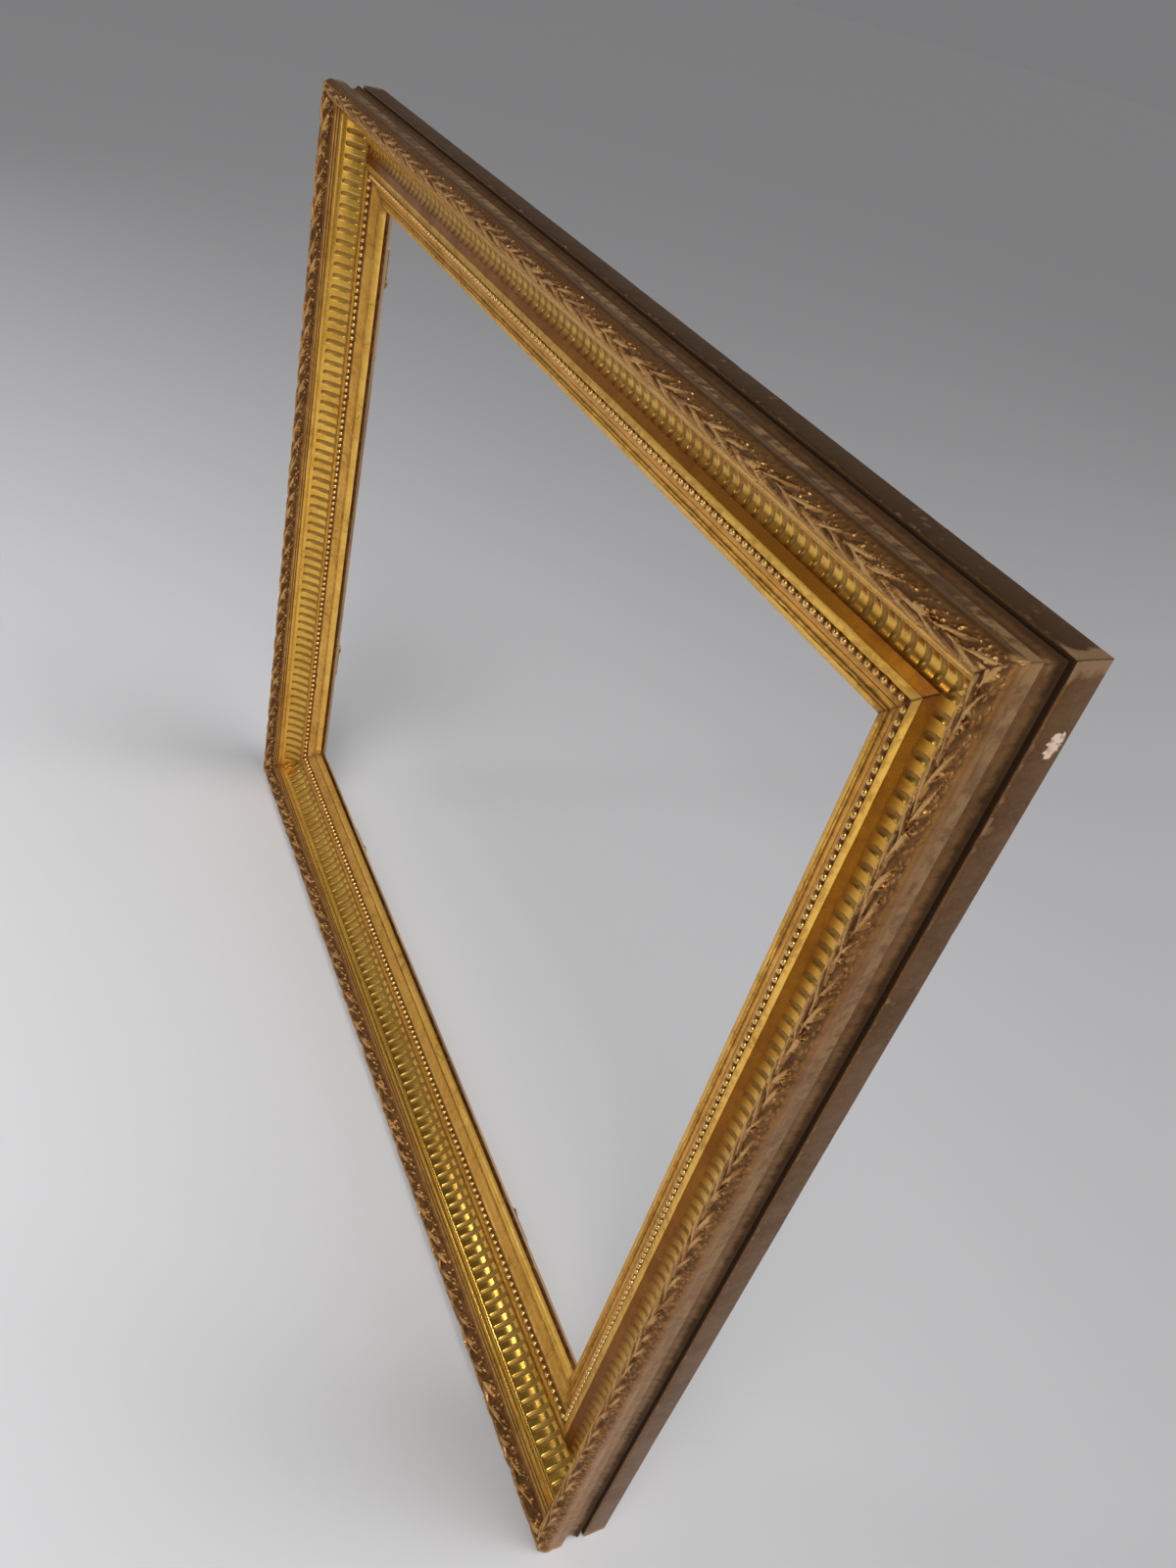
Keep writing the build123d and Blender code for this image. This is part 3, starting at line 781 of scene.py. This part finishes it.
def leaf_strokes():
    """The leaves of one repeat, as start, bend and tip (along, across the strip), half width and height."""
    strokes = []
    for number in range(leaf_bundles):
        sway = noise.noise_vector(Vector((number * 1.7, 3.1, 0.5)))
        place = number * leaf_repeat / leaf_bundles + 2.0 * sway.z
        stem = 8.4 + 0.9 * sin(pi * number / 3)
        side = 1 if number % 2 else -1
        spread = side * ((3.8 if side > 0 else 6.6) + 1.4 * sway.y)
        for strand, reach in enumerate(strand_reaches):
            flick = noise.noise(Vector((2.3 * number + 0.7 * strand, 7.7, 1.3)))
            reach += 2.5 * sway.x + 2.0 * flick
            tip = (place + reach, stem + (1.0 - 0.08 * strand + 0.3 * flick) * spread)
            strokes.append(((place - 2.0 + 1.1 * strand, stem - 0.1 * side * strand),
                            (place + (0.45 + 0.15 * flick) * reach,
                             stem + (0.15 + 0.3 * flick) * spread),
                            tip, 0.62 - 0.03 * strand, 1.5 - 0.1 * strand))
            if strand % 2 == 0:
                hook = ((tip[0] + 1.5, tip[1] + 0.9 * side), (tip[0] + 0.9, tip[1] - 0.9 * side))
                strokes.append((tip, *hook, 0.5, 1.2))
        berry = (place + 1.0, stem - 0.3 * spread)
        strokes.append((berry, berry, (berry[0] + 0.4, berry[1]), 0.75, 1.1))
        bud = (place + 4.2, 3.4 + 0.5 * sway.x)
        strokes.append((bud, (bud[0] + 0.8, bud[1] + 0.5), (bud[0] + 1.6, bud[1] - 0.2), 0.8, 1.35))
        for curl in range(3):
            spot = (place + 2.5 * curl, 12.7 + 1.2 * sin(2.1 * (3 * number + curl)))
            strokes.append((spot, (spot[0] + 0.9, spot[1] + 0.9), (spot[0] + 1.9, spot[1] + 0.2), 0.5, 0.6))
    return strokes


def leaf_tile(width):
    """Heights of one repeat of the leaves over the strip, in millimetres."""
    columns = round(leaf_repeat / tile_step)
    rows = int(width / tile_step) + 2
    tile = np.zeros((columns, rows))
    for start, bend, tip, half_width, height in leaf_strokes():
        points = stroke_points(start, bend, tip)
        low = np.floor((points.min(axis=0) - half_width) / tile_step).astype(int)
        high = np.ceil((points.max(axis=0) + half_width) / tile_step).astype(int)
        near_rows = np.arange(max(low[1], 0), min(high[1], rows))
        near_columns = np.arange(low[0], high[0])
        along, across = np.meshgrid(near_columns * tile_step, near_rows * tile_step, indexing="ij")
        raised = np.zeros_like(along)
        for number in range(stroke_parts):
            first = points[number]
            run = points[number + 1] - first
            share = ((along - first[0]) * run[0] + (across - first[1]) * run[1]) / max(run @ run, 1e-9)
            share = np.clip(share, 0, 1)
            off = np.hypot(along - first[0] - share * run[0], across - first[1] - share * run[1])
            grown = (number + share) / stroke_parts
            half = half_width * (0.35 + 0.65 * np.sin(pi * grown)) * (1 - grown ** 8)
            crown = np.sqrt(np.clip(1 - (off / np.maximum(half, 0.05)) ** 2, 0, 1))
            raised = np.maximum(raised, height * (0.6 + 0.4 * grown) * crown)
        block = np.ix_(near_columns % columns, near_rows)
        tile[block] = np.maximum(tile[block], raised)
    return tile


def section_walk(points, spacing):
    """Evenly spaced points along a section, each with its facing and its distance walked."""
    points = np.array(points)
    walked = np.concatenate([[0.0], np.cumsum(np.linalg.norm(np.diff(points, axis=0), axis=1))])
    count = round(walked[-1] / spacing) + 1
    steps = np.linspace(0, walked[-1], count)
    out = np.interp(steps, walked, points[:, 0])
    up = np.interp(steps, walked, points[:, 1])
    slope = np.stack([np.gradient(out, steps), np.gradient(up, steps)], axis=1)
    slope /= np.linalg.norm(slope, axis=1)[:, None]
    return steps, out, up, -slope[:, 1], slope[:, 0]


walk_steps, walk_out, walk_up, walk_face_out, walk_face_up = section_walk(leaf_section, leaf_step)
leaf_width = walk_steps[-1]
tile_heights = leaf_tile(leaf_width)
# Across the strip the leaves fade in over the inner rim's width, and out before the outer rim's line over
# its width. The outer slope starts at its line and is full after its width.
leaf_ground = 1.1
inner_rim = 1.4
outer_rim = (15.6, 1.6)
outer_slope = (9.5, 2.5)
# The leaves run on this far past the sight opening, and the mitres cut them off.
leaf_past_sight = 53.0


def leaf_strip(side):
    length = side_lengths[side]
    half = length / 2 + leaf_past_sight
    start = pattern_starts[side]
    steps_along = np.linspace(-half, half, int(2 * half / leaf_step) + 1)
    along, across = np.meshgrid(steps_along, walk_steps, indexing="ij")
    # The repeats wander a little, as they do on ornament laid by hand.
    wander = np.sin(0.13 * along + start) + 0.6 * np.sin(0.31 * along + 0.2 * across + 2 * start)
    sway = np.sin(0.23 * along + 1.7 * start) + 0.5 * np.sin(0.071 * along + start)
    read_along = (leaf_directions[side] * along + 1.2 * wander) % leaf_repeat
    read_across = np.clip(across + 0.35 * sway, 0, leaf_width)
    lift = tile_heights[(read_along / tile_step).astype(int) % len(tile_heights),
                        (read_across / tile_step).astype(int)]
    # The outer slope is worked less deeply than the crest.
    outer = np.clip((across - outer_slope[0]) / outer_slope[1], 0, 1)
    lift = lift * (1 + 0.12 * sway) * (1 - 0.4 * outer)
    rim = np.minimum(np.minimum(1.0, across / inner_rim),
                     np.maximum(0.12, (outer_rim[0] - across) / outer_rim[1]))
    rim = np.minimum(rim, leaf_width - across)
    depth = (leaf_ground * (1 - 0.5 * outer) - lift) * rim - 0.1
    out = walk_out - depth * walk_face_out
    up = walk_up - depth * walk_face_up
    # Raised strands take the rubbed gold, partly wear and partly painted highlight, and the low ground
    # takes dirt.
    ridge = (1.5 * lift - 0.58 + 0.12 * outer) * rim
    mitre = length / 2 + out - np.abs(along)
    bm, numbers = laid_grid(*along.shape)
    bar = bm.verts.layers.float_vector["bar"]
    edge = bm.verts.layers.float["edge"]
    for vert, spot in numbers.items():
        vert.co = (along[spot] * MM, -up[spot] * MM, out[spot] * MM)
        vert[bar] = (along[spot] * MM + start, across[spot] * MM, mitre[spot] * MM)
        vert[edge] = ridge[spot]
    cut_mitres(bm, length)
    for vert in bm.verts:
        vert.co.x, vert.co.z = rounded_corner(vert.co.x, vert.co.z, length)
    bmesh.ops.transform(bm, matrix=side_place(side), verts=bm.verts)
    hand_worked(bm, chips=0)
    finished_piece(bm, f"{side}_running_leaves", ["leaf"], [f"{side}_leaf_strip"],
                   crease=80.0)


for side in side_turns:
    sight_slip(side)
    bead_strip(side)
    moulding(side)
    cove_strip(side)
    leaf_strip(side)
    back_rail(side)


# Carried-over CAD nodes

def node_finish(name):
    if name.endswith("corner_key"):
        return finishes["key"]
    if name == "corner_nails":
        return finishes["steel"]
    return finishes["brass"]


replaced_endings = ("back_rail", "moulding", "sight_slip", "bead_strip", "cove_strip", "leaf_strip")
for name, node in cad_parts.items():
    if name.endswith(replaced_endings):
        continue
    node.data.materials.clear()
    node.data.materials.append(node_finish(name))


# Floor, light and camera

floor_level = (sight_centre - sight_height / 2 - frame_reach) * MM
floor_half = 30.0
floor_mesh = bpy.data.meshes.new("floor")
bm = bmesh.new()
bmesh.ops.create_grid(bm, x_segments=1, y_segments=1, size=floor_half,
                      matrix=Matrix.Translation((0, 0, floor_level)))
bm.to_mesh(floor_mesh)
bm.free()
floor = bpy.data.objects.new("floor", floor_mesh)
bpy.context.scene.collection.objects.link(floor)
floor_finish, _, floor_surface = new_material("pale_floor")
floor_surface.inputs["Base Color"].default_value = (0.62, 0.62, 0.635, 1.0)
floor_surface.inputs["Roughness"].default_value = 0.7
floor_mesh.materials.append(floor_finish)


def soft_lamp(name, place, aim, size, power, spread=180.0):
    lamp = bpy.data.lights.new(name, "AREA")
    lamp.size = size
    lamp.energy = power
    lamp.spread = radians(spread)
    holder = bpy.data.objects.new(name, lamp)
    holder.location = place
    holder.rotation_euler = (Vector(aim) - Vector(place)).to_track_quat("-Z", "Y").to_euler()
    bpy.context.scene.collection.objects.link(holder)


middle = (0.0, 0.0, sight_centre * MM)
soft_lamp("front_lamp", (-0.43, -1.2, 0.3), middle, 0.2, 1.6)
soft_lamp("floor_lamp", (0.7, -0.9, 1.7), (-0.15, -0.7, floor_level), 1.0, 6.0, spread=60.0)
soft_lamp("right_fill", (1.7, -0.9, 0.3), middle, 1.2, 8.0)
soft_lamp("left_fill", (-1.6, -0.9, 0.3), middle, 1.2, 1.6)
soft_lamp("back_fill", (0.9, 1.6, 0.6), (-0.1, 0.25, floor_level), 1.2, 12.0)

sun = bpy.data.lights.new("high_soft_light", "SUN")
sun.energy = 0.9
sun.angle = radians(30)
sun_holder = bpy.data.objects.new("high_soft_light", sun)
sun_holder.rotation_euler = Vector((-0.35, -0.3, -0.88)).to_track_quat("-Z", "Y").to_euler()
bpy.context.scene.collection.objects.link(sun_holder)

world = bpy.data.worlds.new("room")
bpy.context.scene.world = world
world.use_nodes = True
room = world.node_tree
# The room is dim above and in front of the frame, and paler low down behind it and to its left.
toward = put(room, "ShaderNodeTexCoord").outputs["Generated"]
toward = put(room, "ShaderNodeSeparateXYZ", {0: toward}).outputs
paler = sum_up(room, "MAXIMUM", rise(room, toward[1], -0.3, 0.5), rise(room, toward[0], -0.2, -0.7))
paler = sum_up(room, "MULTIPLY", paler, rise(room, toward[2], 0.6, 0.05))
room_light = blend(room, paler, (0.07, 0.07, 0.07, 1.0), (0.195, 0.195, 0.2, 1.0))
room.links.new(room_light, room.nodes["Background"].inputs["Color"])
room.nodes["Background"].inputs["Strength"].default_value = 1.0

# The camera's place and facing, solved from the photograph.
view_right = Vector((0.40180343, 0.88618790, 0.23070547))
view_down = Vector((0.62175371, -0.07905097, -0.77921324))
view_forward = Vector((-0.67229185, 0.45653254, -0.58275356))
camera_data = bpy.data.cameras.new("camera")
camera_data.sensor_width = 36.0
camera_data.lens = 26.712
camera = bpy.data.objects.new("camera", camera_data)
camera.matrix_world = (Matrix.Translation((0.44624, -0.23242, 0.12775))
                       @ Matrix((view_right, -view_down, -view_forward)).transposed().to_4x4())
bpy.context.scene.collection.objects.link(camera)
bpy.context.scene.camera = camera
bpy.context.scene.view_settings.view_transform = "Standard"
